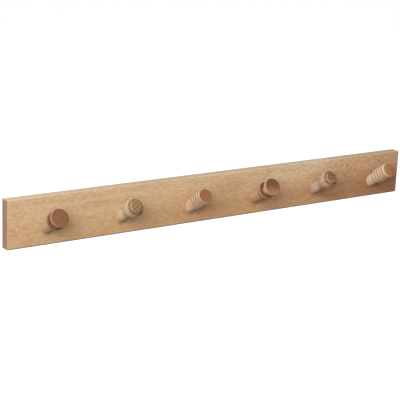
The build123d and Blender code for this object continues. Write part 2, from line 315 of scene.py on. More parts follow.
class Steps:
    """Adds nodes to one tree. A step takes sockets or plain values and gives its output socket."""

    def __init__(self, tree):
        self.tree = tree

    def fill(self, node, inputs):
        """Joins sockets and sets plain values; a colour needs no alpha."""
        for key, value in inputs.items():
            if isinstance(value, bpy.types.NodeSocket):
                self.tree.links.new(value, node.inputs[key])
            elif node.inputs[key].type == "RGBA":
                node.inputs[key].default_value = (*value[:3], 1)
            else:
                node.inputs[key].default_value = value

    def add(self, kind, inputs=None, output=0, **settings):
        node = self.tree.nodes.new("ShaderNode" + kind)
        for key, value in settings.items():
            setattr(node, key, value)
        self.fill(node, inputs or {})
        return node.outputs[output]

    def group(self, name, inputs):
        """Puts a shared group into the tree with its own values; gives its outputs by name."""
        node = self.tree.nodes.new("ShaderNodeGroup")
        node.node_tree = shared_group(name)
        self.fill(node, inputs)
        return node.outputs

    def send(self, values, sockets):
        """Joins each value to the socket of the same name."""
        for name, value in values.items():
            self.tree.links.new(value, sockets[name])

    def math(self, operation, a, b=0.0, clamp=False):
        return self.add("Math", {0: a, 1: b}, operation=operation, use_clamp=clamp)

    def plus(self, a, b, clamp=False):
        return self.math("ADD", a, b, clamp)

    def times(self, a, b):
        return self.math("MULTIPLY", a, b)

    def minus(self, a, b):
        return self.math("SUBTRACT", a, b)

    def most(self, first, *others):
        for other in others:
            first = self.math("MAXIMUM", first, other)
        return first

    def vector(self, operation, a, b=(0, 0, 0), output=0):
        return self.add("VectorMath", {0: a, 1: b}, output, operation=operation)

    def part(self, place, axis):
        """One coordinate of a place: 0, 1 or 2 for X, Y or Z."""
        return self.add("SeparateXYZ", {0: place}, axis)

    def toward(self, place, direction):
        """How far a place lies along a direction."""
        return self.vector("DOT_PRODUCT", place, direction, 1)

    def distance(self, place, centre, scale=(1, 1, 1)):
        """Length of the way from centre to place, after its three parts are scaled."""
        way = self.vector("MULTIPLY", self.vector("SUBTRACT", place, centre), scale)
        return self.vector("LENGTH", way, output=1)

    def noise(self, place, lumps, detail=2, roughness=0.5):
        """Noise with so many lumps a metre along X, Y and Z."""
        values = {"Scale": 1, "Detail": detail, "Roughness": roughness}
        return self.add("TexNoise", {"Vector": self.vector("MULTIPLY", place, lumps), **values})

    def level(self, value, low, high, to_low=0.0, to_high=1.0, **settings):
        """Straight step of value between low and high."""
        inputs = {"Value": value, "From Min": low, "From Max": high, "To Min": to_low, "To Max": to_high}
        return self.add("MapRange", inputs, **settings)

    def band(self, value, low, high, to_low=0.0, to_high=1.0):
        """Smooth step of value between low and high."""
        return self.level(value, low, high, to_low, to_high, interpolation_type="SMOOTHSTEP")

    def blend(self, share, a, b, blend_type="MIX"):
        return self.add("Mix", {0: share, 6: a, 7: b}, 2, data_type="RGBA", blend_type=blend_type)


# ==== effects that materials share ====

PLACE, NUMBER, WHITE = (0, 0, 0), 0.0, (1, 1, 1, 1)  # plain defaults of an effect's inputs
INPUT_KINDS = {1: "NodeSocketFloat", 3: "NodeSocketVector", 4: "NodeSocketColor"}  # by how many numbers
OUTPUT_KINDS = {"VALUE": "NodeSocketFloat", "RGBA": "NodeSocketColor"}
EFFECTS = {}


def effect(name, inputs):
    """Keeps a function as the maker of a shader group. It is given the group's steps and inputs, and
    gives back the group's outputs by name."""
    def keep(make):
        EFFECTS[name] = make, inputs
        return make

    return keep


def shared_group(name):
    """Shader group of an effect with named sockets, built when the first material wants it."""
    group = bpy.data.node_groups.get(name)
    if group is None:
        make, inputs = EFFECTS[name]
        group = bpy.data.node_groups.new(name, "ShaderNodeTree")
        new_socket, new_node = group.interface.new_socket, group.nodes.new
        for socket, default in inputs.items():
            kind = INPUT_KINDS[np.size(default)]
            new_socket(name=socket, in_out="INPUT", socket_type=kind).default_value = default
        steps = Steps(group)
        outputs = make(steps, new_node("NodeGroupInput").outputs)
        for socket, value in outputs.items():
            new_socket(name=socket, in_out="OUTPUT", socket_type=OUTPUT_KINDS[value.type])
        steps.send(outputs, new_node("NodeGroupOutput").inputs)
    return group


# lumps a metre along and across the grain, detail, roughness
BEECH_NOISE = {
    "wander": (3, 26, 2, 0.5), "ripple": (14, 120, 2, 0.5), "patch": (6, 30, 2, 0.5),
    "blush": (17, 40, 2, 0.5), "streak": (130, 700, 2, 0.6), "mottle": (50, 150, 2, 0.5),
    "fibre": (90, 1500, 2, 0.6), "fleck": (190, 1100, 1, 0.5), "pore": (300, 1700, 2, 0.5),
}
# from which value of the noise to which, and what that gives: metres for the rings, then tones
BEECH_SWING = {
    "wander": (0, 1, -5 * MM, 5 * MM), "ripple": (0, 1, -1.0 * MM, 1.0 * MM),
    "streak": (0.3, 0.7, -0.28, 0.28), "fibre": (0.3, 0.7, -0.10, 0.10), "patch": (0.3, 0.7, 0.2, 0.45),
    "pore": (0.35, 0.7, -0.04, 0.08), "mottle": (0.3, 0.7, -0.15, 0.2), "blush": (0.35, 0.65, 0, 1),
}
LATE_COMES, LATE_GOES = (0.2, 0.8), (0.85, 1.0, 1.0, 0.0)  # over which shares of a year
PINK, YELLOW = (1.015, 0.975, 0.96), (0.985, 1.0, 0.945)
FLECK = (0.66, 0.76)
FLECK_TONE, FLECK_DEPTH = 0.3, 0.4
LIP_PALER, LIP_SMOOTHER = 0.25, 0.08
WOOD_ROUGHNESS, END_ROUGHER = (0.2, 0.8, 0.46, 0.60), 0.12
FIBRE_HEIGHT, STREAK_HEIGHT, LATE_DEPTH = 0.5, 0.35, 0.2
FACING_ENDS = (0.2, 0.75)  # how squarely fibres meet the surface where end grain starts and is full


@effect("Beech Grain", {
    "Vector": PLACE, "Seed": NUMBER, "End Grain": NUMBER, "End Shade": NUMBER, "Lip": NUMBER,
    "Light": (0.7, 0.5, 0.33, 1), "Dark": (0.5, 0.3, 0.18, 1),
    "End": (0.26, 0.15, 0.07, 1), "End Dark": (0.09, 0.04, 0.015, 1),
    "Heart": (0, 0, 0.1), "Ring Gap": 3 * MM, "Ring Contrast": 0.4, "Streaks": 1.0, "End Contrast": 0.4,
})
def beech_grain(s, given):
    """Solid beech about a grain that runs along X: growth rings about a far-off heart, long streaks,
    fine fibres, pink and yellow patches and short dark flecks; end grain soaks up more finish."""
    apart = s.add("CombineXYZ", {0: given["Seed"], 1: given["Seed"], 2: 0.0})
    place = s.vector("ADD", given["Vector"], apart)
    noise = {
        name: s.noise(place, (along, across, across), detail, roughness)
        for name, (along, across, detail, roughness) in BEECH_NOISE.items()
    }
    swing = {name: s.level(noise[name], *row) for name, row in BEECH_SWING.items()}

    distance = s.distance(given["Vector"], given["Heart"], (0, 1, 1))
    distance = s.plus(s.plus(distance, swing["wander"]), swing["ripple"])
    year = s.math("FRACT", s.math("DIVIDE", distance, given["Ring Gap"]))
    late = s.times(s.band(year, *LATE_COMES), s.band(year, *LATE_GOES))

    tone = s.plus(s.times(s.plus(swing["streak"], swing["fibre"]), given["Streaks"]), swing["patch"])
    tone = s.plus(tone, s.times(late, given["Ring Contrast"]), clamp=True)
    side = s.blend(tone, given["Light"], given["Dark"])
    side = s.blend(1.0, side, s.blend(swing["blush"], PINK, YELLOW), "MULTIPLY")
    side = s.blend(s.band(noise["fleck"], *FLECK, 0, FLECK_TONE), side, given["End"])

    ends = s.plus(s.times(late, given["End Contrast"]), given["End Shade"])
    ends = s.plus(s.plus(ends, swing["pore"]), swing["mottle"], clamp=True)
    color = s.blend(given["End Grain"], side, s.blend(ends, given["End"], given["End Dark"]))
    color = s.blend(s.times(given["Lip"], LIP_PALER), color, given["Light"])

    rough = s.plus(s.level(noise["streak"], *WOOD_ROUGHNESS), s.times(given["End Grain"], END_ROUGHER))
    rough = s.minus(rough, s.times(given["Lip"], LIP_SMOOTHER))
    height = s.plus(s.times(noise["fibre"], FIBRE_HEIGHT), s.times(noise["streak"], STREAK_HEIGHT))
    height = s.minus(height, s.times(late, LATE_DEPTH))
    height = s.minus(height, s.band(noise["fleck"], *FLECK, 0, FLECK_DEPTH))
    return {"Color": color, "Roughness": rough, "Height": height}


@effect("Fibre Ends", {"Normal": PLACE, "Axis": (1, 0, 0)})
def fibre_ends(s, given):
    """Share of end grain, from how squarely the fibres meet the surface: |normal · axis|."""
    return {"Share": s.band(s.math("ABSOLUTE", s.toward(given["Normal"], given["Axis"])), *FACING_ENDS)}


# ---- finish and painted shade on a turned peg: places along its axis back from the front, or across it ----
BARE_ACROSS, BARE_ALONG = (-15 * MM, 1 * MM), (6 * MM, 4 * MM)
SOAKED_FRONT = 4.5 * MM
SHOULDER_ALONG, SHOULDER_SHADE = (7 * MM, 4 * MM), 0.3
SHADE_ACROSS = (-13 * MM, 13 * MM)
RIM_FADE = 0.3 * MM
RIM_SHADE_SIDE = (-0.3, -0.95)  # to the left and down, the rim's lower side, where its painted shade is darkest
RIM_SHADE_ACROSS = (-12 * MM, 4 * MM, 0.2, 1)
LEE_SIDE = (0.85, -0.53)  # to the right and down, away from the light, where painted contact shade under a peg is darkest
LEE_ACROSS = (-4 * MM, 8 * MM, 0.15, 1)
# a faint dark line where a peg meets the board, with painted contact shade on its lee side
JOINT_HEIGHT, JOINT_SHADE = 1.6 * MM, 0.25


@effect("Turned Finish", {
    "Vector": PLACE, "Outward": NUMBER, "Facing": NUMBER, "Lip": NUMBER, "Groove": NUMBER,
    "Front": 55 * MM, "Shade Side": (0, 0, 1), "Shade": NUMBER, "Bare": NUMBER,
    "Rim Start": 24 * MM, "Rim Full": 32 * MM, "Rim Stop": 38 * MM, "Rim Shade": NUMBER,
    "Front Soak": NUMBER, "Rim Finish and Shade": NUMBER, "Groove Finish and Shade": NUMBER,
})
def turned_finish(s, given):
    """Masks on a turned peg: finish soaked into the front and the rim, the rim with painted shade on
    its lower side; painted shade just behind the front; darker to one side of the front; finish and
    painted shade in grooves; a dark line at the joint, with painted contact shade on the lee side."""
    place, front = given["Vector"], given["Front"]
    along = s.part(place, 0)
    slope = s.toward(place, given["Shade Side"])
    bare = s.level(slope, *BARE_ACROSS, given["Bare"], 0)
    bare = s.times(bare, s.band(along, *(s.minus(front, back) for back in BARE_ALONG)))
    face = s.times(given["Facing"], s.minus(1.0, bare))
    near_front = s.band(along, s.minus(front, SOAKED_FRONT), front, 0, given["Front Soak"])
    rim_end = s.plus(given["Rim Stop"], RIM_FADE)
    rim = s.times(
        s.band(along, given["Rim Start"], given["Rim Full"], 0, given["Rim Finish and Shade"]),
        s.band(along, given["Rim Stop"], rim_end, 1, 0),
    )
    # painted shade: the rim is darkest on its lower side, away from the light
    rim = s.times(rim, s.level(s.toward(place, (0, *RIM_SHADE_SIDE)), *RIM_SHADE_ACROSS))
    darker = s.level(slope, *SHADE_ACROSS, 0, given["Shade"])
    # painted shade just behind the front, where the crescent round it lies in the recess
    shoulder = s.band(along, *(s.minus(front, back) for back in SHOULDER_ALONG), SHOULDER_SHADE, 0)
    joint_shade = s.band(given["Outward"], BOARD_LOW.y - JOINT_HEIGHT, BOARD_LOW.y, 0, JOINT_SHADE)
    return {
        "End Grain": s.most(face, near_front, rim),
        "End Shade": s.most(darker, shoulder, s.times(rim, given["Rim Shade"])),
        "Lip": s.times(given["Lip"], s.minus(1.0, given["Rim Finish and Shade"])),
        # finish and painted shade in the grooves
        "Groove": s.times(given["Groove"], given["Groove Finish and Shade"]),
        # dark joint line, with painted contact shade on the lee side
        "Joint": s.times(joint_shade, s.level(s.toward(place, (0, *LEE_SIDE)), *LEE_ACROSS)),
    }


@effect("Marking and Foot Shade", {
    "Color": WHITE, "Marking": NUMBER, "Marking Color": WHITE, "Foot Shade": NUMBER, "Foot Shade Color": WHITE,
})
def marking_and_foot_shade(s, given):
    """Wood darkened in two places, each a share and a colour: a marking, such as finish with painted
    shade in grooves, and painted shade at a peg's foot with a dark joint line.
    """
    under = s.blend(given["Marking"], given["Color"], given["Marking Color"])
    return {"Color": s.blend(given["Foot Shade"], under, given["Foot Shade Color"])}


@effect("Box Edges", {"Vector": PLACE, "Half Size": (0.1, 0.1, 0.1), "Reach": 3 * MM})
def box_edges(s, given):
    """Nearness to the edges of a box about the origin. Each axis has a share, from 0 at the reach
    inside a face to 1 on it, and an edge is the greatest of the smaller shares of each pair."""
    outside = s.vector("SUBTRACT", s.vector("ABSOLUTE", given["Vector"]), given["Half Size"])
    reaches = (s.math("DIVIDE", s.part(outside, axis), given["Reach"]) for axis in range(3))
    x, y, z = (s.plus(reach, 1.0, clamp=True) for reach in reaches)
    return {"Edge": s.most(*(s.math("MINIMUM", a, b) for a, b in ((x, y), (y, z), (z, x))))}


@effect("Screw Head", {"Vector": PLACE, "Head": 5 * MM, "Reach": 1.2 * MM})
def screw_head(s, given):
    """Nearness to a screw's head, which is the end of its box on the Y side: 1 there, 0 at the reach."""
    start = s.minus(given["Head"], given["Reach"])
    return {"Edge": s.band(s.part(given["Vector"], 1), start, given["Head"])}


# noise in the plating: lumps a metre, detail, roughness
CLOUD, BRUSH, SPOT = ((140,) * 3, 4, 0.6), ((150, 3000, 3000), 2, 0.5), ((900,) * 3, 2, 0.5)
DULL_CLOUD, DULL_SPOT = (0.4, 0.65, 0, 0.7), (0.62, 0.72, 0, 0.3)
CLOUD_ROUGHNESS, BRUSH_ROUGHNESS = (0.2, 0.8, 0.25, 0.48), (0.2, 0.8, -0.06, 0.06)
BRUSH_HEIGHT, CLOUD_HEIGHT = 0.6, 0.4


@effect("Plated Metal", {
    "Vector": PLACE, "Color": (0.6, 0.6, 0.62, 1), "Tint": (0.5, 0.47, 0.4, 1),
    "Bare": (0.80, 0.80, 0.80, 1), "Rubbed": NUMBER, "Wear": 0.5,
})
def plated_metal(s, given):
    """Bright zinc: cloudy mottling and fine brushing along X, and bare metal where it is rubbed."""
    cloud, brush, spot = (s.noise(given["Vector"], *row) for row in (CLOUD, BRUSH, SPOT))
    dull = s.plus(s.band(cloud, *DULL_CLOUD), s.band(spot, *DULL_SPOT), clamp=True)
    color = s.blend(dull, given["Color"], given["Tint"])
    color = s.blend(s.times(given["Rubbed"], given["Wear"]), color, given["Bare"])
    rough = s.plus(s.level(cloud, *CLOUD_ROUGHNESS), s.level(brush, *BRUSH_ROUGHNESS))
    height = s.plus(s.times(brush, BRUSH_HEIGHT), s.times(cloud, CLOUD_HEIGHT))
    return {"Color": color, "Roughness": rough, "Height": height}


# ==== materials ====

def new_material(name):
    material = bpy.data.materials.new(name)
    material.use_nodes = True
    return material, Steps(material.node_tree), material.node_tree.nodes["Principled BSDF"]


def finish_surface(s, shader, surface, color, distance, strength):
    """Joins a group's outputs to the shader, with its height as a bump."""
    bump = s.add("Bump", {"Height": surface["Height"], "Distance": distance, "Strength": strength})
    s.send({"Base Color": color, "Roughness": surface["Roughness"], "Normal": bump}, shader.inputs)


def wear_material(piece, material):
    piece.data.materials.clear()
    piece.data.materials.append(material)


def grain_place(s, base, directions=np.eye(3)):
    """Object coordinates turned so that X runs along the grain, from the given base."""
    turn = Matrix(np.transpose(directions).tolist()).to_euler()
    values = {"Vector": s.add("TexCoord", output=3), "Location": tuple(base), "Rotation": turn}
    return s.add("Mapping", values, vector_type="TEXTURE")


def end_grain(s, axis):
    """Share of end grain of a piece whose fibres run along the axis."""
    return s.group("Fibre Ends", {"Normal": s.add("TexCoord", output=1), "Axis": tuple(axis)})["Share"]


def marked_and_shaded(s, color, marking, marking_color, foot_shade, foot_shade_color):
    """Colour of wood under a marking and under painted shade at a peg's foot."""
    values = {"Color": color, "Marking": marking, "Marking Color": marking_color}
    return s.group("Marking and Foot Shade", {**values, "Foot Shade": foot_shade, "Foot Shade Color": foot_shade_color})["Color"]


# ---- how each peg was cut from its blank ----
# tilt in degrees; sizes of its outline in millimetres, the front face first; wood and end colours;
# heart: direction round the axis in degrees (0 right, 90 up) and distance in millimetres; gap between
# growth rings in millimetres, and their contrast on the front; shade: the direction in which the front
# darkens, by how much, and how bare the far side is; soak: finish behind the front, and finish with
# painted shade round the rim and in grooves
Peg = namedtuple("Peg", "pattern tilt sizes wood end end_dark heart ring_gap ring_contrast shade soak")
PEGS = (
    Peg("disc", 30.0, (51.3, 46.4, 37.2, 0.6), "tan", "brown", "dark",
        (150, 70), 5.5, 0.25, (70, 0.20, 0.0), (0.20, 0.80, 0.0)),
    Peg("waisted", 31.1, (54.4, 8.7), "pale", "olive", "dark",
        (119, 60), 5.2, 0.45, (-60, 0.05, 0.0), (0.08, 0.85, 0.0)),
    Peg("ribbed", 32.6, (52.0, 20.9, 6.6), "cream", "orange", "dark",
        (29, 60), 5.4, 0.45, (150, 0.15, 0.0), (0.50, 0.0, 0.6)),
    Peg("disc", 30.9, (58.7, 51.5, 38.8, 1.0), "tan", "chestnut", "dark",
        (60, 45), 7.0, 0.12, (85, 0.80, 0.40), (0.30, 0.30, 0.0)),
    Peg("waisted", 33.6, (55.3, 8.6), "straw", "umber", "dark",
        (72, 30), 7.0, 0.35, (75, 0.55, 0.0), (0.03, 0.85, 0.0)),
    Peg("ribbed", 32.8, (57.3, 22.6, 7.1), "ivory", "honey", "chestnut",
        (20, 55), 6.0, 0.15, (-23, 1.02, 0.0), (0.35, 0.0, 0.4)),
)
# where finish and painted shade in the rim start, are full and stop, in millimetres along, and its shade
RIMS = {"disc": (24, 32, 38.6, 0.2), "waisted": (45.0, 51.4, 52.2, 0.45), "ribbed": (60, 70, 80, 0)}
SOAKS = ("Front Soak", "Rim Finish and Shade", "Groove Finish and Shade")
OUTLINES = {"disc": disc_outline, "waisted": waisted_outline, "ribbed": ribbed_outline}
FIRST_SEED, SEED_STEP = 0.31, 1.7  # places of the pegs in the noise
PEG_RING_CONTRAST = 0.3
WOOD_BUMP, PEG_BUMP, BOARD_BUMP = 0.5, 0.1 * MM, 0.12 * MM


def round_axis(angle, size=1.0):
    """Place across a peg's axis, at an angle in degrees and a distance."""
    return 0, size * cos(radians(angle)), size * sin(radians(angle))


def peg_material(number, peg, colors):
    """Beech that runs along the peg's axis, with the marks of its finish and painted shade."""
    material, s, shader = new_material(f"Beech, turned peg {number + 1}")
    directions = peg_directions(radians(peg.tilt))
    place = grain_place(s, peg_base(number), directions)
    shade_angle, shade, bare = peg.shade
    rim_start, rim_full, rim_stop, rim_shade = RIMS[peg.pattern]
    lip, groove = (s.add("Attribute", output=2, attribute_name=mark) for mark in ("lip", "groove"))
    finish = s.group("Turned Finish", {
        "Vector": place,
        "Outward": s.part(s.add("TexCoord", output=3), 1),
        "Facing": end_grain(s, directions[0]),
        "Lip": lip, "Groove": groove, "Front": peg.sizes[0] * MM,
        "Shade Side": round_axis(shade_angle), "Shade": shade, "Bare": bare,
        "Rim Start": rim_start * MM, "Rim Full": rim_full * MM, "Rim Stop": rim_stop * MM,
        "Rim Shade": rim_shade, **dict(zip(SOAKS, peg.soak)),
    })
    heart_angle, heart_distance = peg.heart
    surface = s.group("Beech Grain", {
        "Vector": place,
        "Seed": SEED_STEP * number + FIRST_SEED,
        **{mask: finish[mask] for mask in ("End Grain", "End Shade", "Lip")},
        "Light": getattr(colors, peg.wood + "_light"), "Dark": getattr(colors, peg.wood + "_dark"),
        "End": getattr(colors, "end_" + peg.end), "End Dark": getattr(colors, "end_" + peg.end_dark),
        "Heart": round_axis(heart_angle, heart_distance * MM), "Ring Gap": peg.ring_gap * MM,
        "Ring Contrast": PEG_RING_CONTRAST, "End Contrast": peg.ring_contrast,
    })
    # finish and painted shade in grooves; dark joint line and painted contact shade by the board
    color = marked_and_shaded(s, surface["Color"], finish["Groove"], colors.groove, finish["Joint"], colors.joint_shade)
    finish_surface(s, shader, surface, color, PEG_BUMP, WOOD_BUMP)
    return material


# ---- painted shade and shadow round the pegs' feet on the board ----
FOOT_RADIUS = 9.8 * MM
FOOT_SLANT = cos(radians(32))
FOOT_SHADE = (FOOT_RADIUS - 0.5 * MM, FOOT_RADIUS + 7 * MM, 0.48, 0)
SHADOW_CENTRE = (18 * MM, -7.5 * MM)  # from a peg's axis: middle of the painted shadow that the peg casts on the board
SHADOW_SIZE = (17 * MM, 8.5 * MM)
SHADOW_FADE = (0.2, 1.0, 1, 0)
SHADOW_ALONG = (-0.35, 0.35, 0.15, 0.45)  # the painted shadows are deeper under the pegs at the right


def peg_foot_shade(s, x, z):
    """Share of painted shade by the foot of any peg: a faint dark ring where it meets the board, painted
    contact shade on the lee side, and a painted shadow that the peg casts below and to the right. The
    feet are one ellipse, a slanting round, repeated every pitch."""
    cell = s.minus(s.math("FRACT", s.math("DIVIDE", x, PEG_PITCH)), 0.5)
    round_x = s.times(cell, PEG_PITCH)
    round_z = s.times(s.minus(z, PEG_HEIGHT), FOOT_SLANT)
    offset = s.add("CombineXYZ", {0: round_x, 1: round_z, 2: 0.0})
    near = s.band(s.distance(offset, (0, 0, 0)), *FOOT_SHADE)
    ring = s.times(near, s.level(s.toward(offset, (*LEE_SIDE, 0)), *LEE_ACROSS))
    from_shadow = s.distance(offset, (*SHADOW_CENTRE, 0), (1 / SHADOW_SIZE[0], 1 / SHADOW_SIZE[1], 0))
    shadow = s.times(s.band(from_shadow, *SHADOW_FADE), s.level(x, *SHADOW_ALONG))
    return s.most(ring, shadow)


# ---- planed board: metres from its centre ----
DRIFT_LUMPS, DRIFT_ALONG, DRIFT_UP = (7, 30, 30), 0.08, 0.02  # noise that carries the colours about
REDDER_ALONG, LOWER_HEIGHT, LEFT_ALONG = (0.16, 0.42), (0.028, -0.020), (-0.30, 0.0)
BOARD_LATE = (0.72, 0.60, 0.48)  # late wood, as a share of the early wood
BOARD_HEART = (0, 0.12, -0.03)
BOARD_RING_GAP, BOARD_RING_CONTRAST, BOARD_END_CONTRAST = 6 * MM, 0.10, 0.5
STREAKS_ALONG = (0.1, 0.35, 1.6, 2.5)
PATCH_FADE = (0.5, 1.3)
KNOT_SHAPE, KNOT_CORE, KNOT_EDGE, KNOT_TONE = (0.6, 0, 1.2), 0.4, 1.7, 0.75
FRONT_DEPTH = (-8.0 * MM, -8.8 * MM)
TOP_FACING = (0.5, 0.9)
SKY_ALONG, SKY_LEFT, SKY_RIGHT = (-0.4, -0.1), (1.0, 1.07, 1.18), (0.80, 0.86, 0.95)
EDGE_REACH, EDGE_WEAR = 3 * MM, 0.12
# dark lines round the edges: at the back of the top, at the right end, and painted shade along the lower
# edge
EDGE_LINE_BACK, EDGE_LINE_BELOW, EDGE_LINE_END = (2 * MM, 6 * MM), (-37.2 * MM, -38.8 * MM), (407.0 * MM, 408.6 * MM)
EDGE_LINE_TONE = 0.85
# patches of another colour: centre along and up, half length, half height, strength, colour
PATCHES = (
    (0.168, 0.034, 0.055, 0.017, 0.8, "pale"),
    (-0.225, -0.033, 0.060, 0.006, 0.3, "honey"),
    (0.035, -0.033, 0.050, 0.007, 0.6, "honey"),
    (0.232, -0.033, 0.035, 0.009, 0.8, "amber"),
    (0.005, 0.017, 0.055, 0.011, 0.50, "lower_middle"),
    (-0.240, 0.014, 0.050, 0.011, 0.45, "lower_middle"),
)
# pin knots: place along and up, and radius, in millimetres
PIN_KNOTS = ((282.5, 23.4, 1.6), (292.2, 19.6, 1.1), (268.0, 26.8, 0.9), (359.3, 25.2, 1.2))


def board_light(s, place, colors):
    """Early wood of the board: lighter and yellower above, redder below and to the right, with patches."""
    drift = s.noise(place, DRIFT_LUMPS)
    along = s.plus(s.part(place, 0), s.level(drift, 0, 1, -DRIFT_ALONG, DRIFT_ALONG))
    height = s.plus(s.part(place, 2), s.level(drift, 0, 1, -DRIFT_UP, DRIFT_UP))
    right = s.level(along, *REDDER_ALONG)
    upper = s.blend(right, colors.upper_left, colors.upper_right)
    lower = s.blend(s.level(along, *LEFT_ALONG), colors.lower_left, colors.lower_middle)
    lower = s.blend(right, lower, colors.lower_right)
    light = s.blend(s.band(height, *LOWER_HEIGHT), upper, lower)
    drifted = s.add("CombineXYZ", {0: along, 1: 0.0, 2: height})
    for patch_x, patch_z, length, width, share, color in PATCHES:
        size = s.distance(drifted, (patch_x, 0, patch_z), (1 / length, 0, 1 / width))
        light = s.blend(s.band(size, *PATCH_FADE, share, 0), light, getattr(colors, color))
    return light


def board_material(colors):
    """Planed beech with pin knots, a top painted lighter where the window lights it, worn edges, dark
    lines round the edges with painted shade along the lower one, and painted shade round the pegs' feet.
    """
    material, s, shader = new_material("Beech, planed board")
    place = grain_place(s, BOARD_CENTRE)
    x, y, z = (s.part(place, axis) for axis in range(3))
    light = board_light(s, place, colors)
    surface = s.group("Beech Grain", {
        "Vector": place,
        "End Grain": end_grain(s, (1, 0, 0)),
        "Light": light,
        "Dark": s.blend(1.0, light, BOARD_LATE, "MULTIPLY"),
        "End": colors.board_end, "End Dark": colors.end_brown,
        "Heart": BOARD_HEART, "Ring Gap": BOARD_RING_GAP, "Ring Contrast": BOARD_RING_CONTRAST,
        "Streaks": s.level(x, *STREAKS_ALONG), "End Contrast": BOARD_END_CONTRAST,
    })
    color = surface["Color"]
    front = s.band(y, *FRONT_DEPTH)
    for knot_x, knot_z, radius in PIN_KNOTS:
        size = s.distance(place, (knot_x * MM, 0, knot_z * MM), KNOT_SHAPE)
        spot = s.band(size, KNOT_CORE * radius * MM, KNOT_EDGE * radius * MM, KNOT_TONE, 0.0)
        color = s.blend(s.times(spot, front), color, colors.knot)
    # painted light: the top face is painted lighter, most at the left, as if lit from the window
    top = s.band(s.part(s.add("TexCoord", output=1), 2), *TOP_FACING)
    skylit = s.blend(s.level(x, *SKY_ALONG), SKY_LEFT, SKY_RIGHT)
    color = s.blend(top, color, s.blend(1.0, color, skylit, "MULTIPLY"))
    edge = s.group("Box Edges", {"Vector": place, "Half Size": BOARD_HALF, "Reach": EDGE_REACH})["Edge"]
    color = s.blend(s.times(edge, EDGE_WEAR), color, colors.upper_left)
    # dark lines round the edges, with painted shade along the lower one
    back = s.times(s.band(y, *EDGE_LINE_BACK), edge)
    dark_edge_lines = s.times(s.most(back, s.band(z, *EDGE_LINE_BELOW), s.band(x, *EDGE_LINE_END)), EDGE_LINE_TONE)
    # painted shade and shadow round the pegs' feet, on the front face only
    foot_shade = s.times(peg_foot_shade(s, x, z), front)
    color = marked_and_shaded(s, color, dark_edge_lines, colors.edge, foot_shade, colors.joint_shade)
    finish_surface(s, shader, surface, color, BOARD_BUMP, WOOD_BUMP)
    return material


# ---- plates and screws ----
METAL_BUMP, METAL_BUMP_STRENGTH = 0.02 * MM, 0.4
PLATE_REACH, PLATE_WEAR = 1.5 * MM, 0.6
HEAD_REACH, HEAD_WEAR = 1.2 * MM, 0.5


def metal_material(node, color, tint, is_plate):
    """Plated metal about the middle of a node: a plate is rubbed bare along its edges and a screw on
    its head."""
    low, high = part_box(node)
    half = (high - low) / 2
    material, s, shader = new_material(f"Zinc, {node}")
    place = grain_place(s, (low + high) / 2)
    if is_plate:
        rubbed = s.group("Box Edges", {"Vector": place, "Half Size": half, "Reach": PLATE_REACH})
    else:
        rubbed = s.group("Screw Head", {"Vector": place, "Head": half.y, "Reach": HEAD_REACH})
    wear = {"Rubbed": rubbed["Edge"], "Wear": PLATE_WEAR if is_plate else HEAD_WEAR}
    surface = s.group("Plated Metal", {"Vector": place, "Color": color, "Tint": tint, **wear})
    shader.inputs["Metallic"].default_value = 1.0
    finish_surface(s, shader, surface, surface["Color"], METAL_BUMP, METAL_BUMP_STRENGTH)
    return material


# ==== stage ====

FLOOR_RINGS, FLOOR_STEPS = 8, 64
FLOOR_LUMPS, FLOOR_MOTTLE, FLOOR_ROUGHNESS = (3, 3, 3), (0.3, 0.7, 0, 0.03), 0.9
FLOOR_PALE = (0.85, 0.85, 0.85)
KEY_PLACE, KEY_SIZE = (-2.6, -2.35, 1.6), 2.0
WINDOW_SIDE, WINDOW_SPREAD = (-0.55, -0.5, 0.75), (-0.35, 1)
REAR_SPREAD = (0.0, 0.4)
CAMERA_PLACE = (-1.205154, -1.653914, 0.539159)
CAMERA_TURN = (74.874, -2.3114, -34.627)  # degrees
CAMERA_LENS, CAMERA_SENSOR = 109.585, 36  # millimetres


def add_floor(settings):
    """Round floor: points r · (cos t, -sin t) at one height, in rings that widen by squares."""
    angle = np.linspace(0, 2 * np.pi, FLOOR_STEPS, endpoint=False)
    radius = settings.floor_radius * np.linspace(0, 1, FLOOR_RINGS + 1)[1:, None] ** 2
    height = BOARD_LOW.z - settings.floor_drop
    level = np.full((FLOOR_RINGS, FLOOR_STEPS), height)
    rings = np.stack((radius * np.cos(angle), -radius * np.sin(angle), level), -1)
    mesh = bpy.data.meshes.new("floor")
    vertices = np.vstack((rings.reshape(-1, 3), (0, 0, height)))
    mesh.from_pydata(vertices.tolist(), [], ring_faces(FLOOR_RINGS, FLOOR_STEPS))
    floor = add_object("floor", mesh)
    wear_material(floor, floor_material(settings))


def floor_material(settings):
    """Pale floor, washed out to white where the camera sees it."""
    material, s, shader = new_material("Pale floor")
    mottle = s.noise(s.add("TexCoord", output=3), FLOOR_LUMPS, 3)
    color = s.blend(s.level(mottle, *FLOOR_MOTTLE), settings.floor_color, FLOOR_PALE)
    seen = s.add("LightPath")
    color = s.blend(seen, settings.floor_bounce, color)
    glow = s.level(seen, 0, 1, 0.0, settings.floor_glow)
    s.send({"Base Color": color, "Emission Strength": glow}, shader.inputs)
    shader.inputs["Roughness"].default_value = FLOOR_ROUGHNESS
    shader.inputs["Emission Color"].default_value = WHITE
    return material


def add_key_light(power):
    """Square soft light that faces the rail."""
    light = bpy.data.lights.new("key_light", "AREA")
    light.size = KEY_SIZE
    light.energy = power
    lamp = add_object("key_light", light)
    lamp.location = KEY_PLACE
    lamp.rotation_euler = (-Vector(KEY_PLACE)).to_track_quat("-Z", "Y").to_euler()


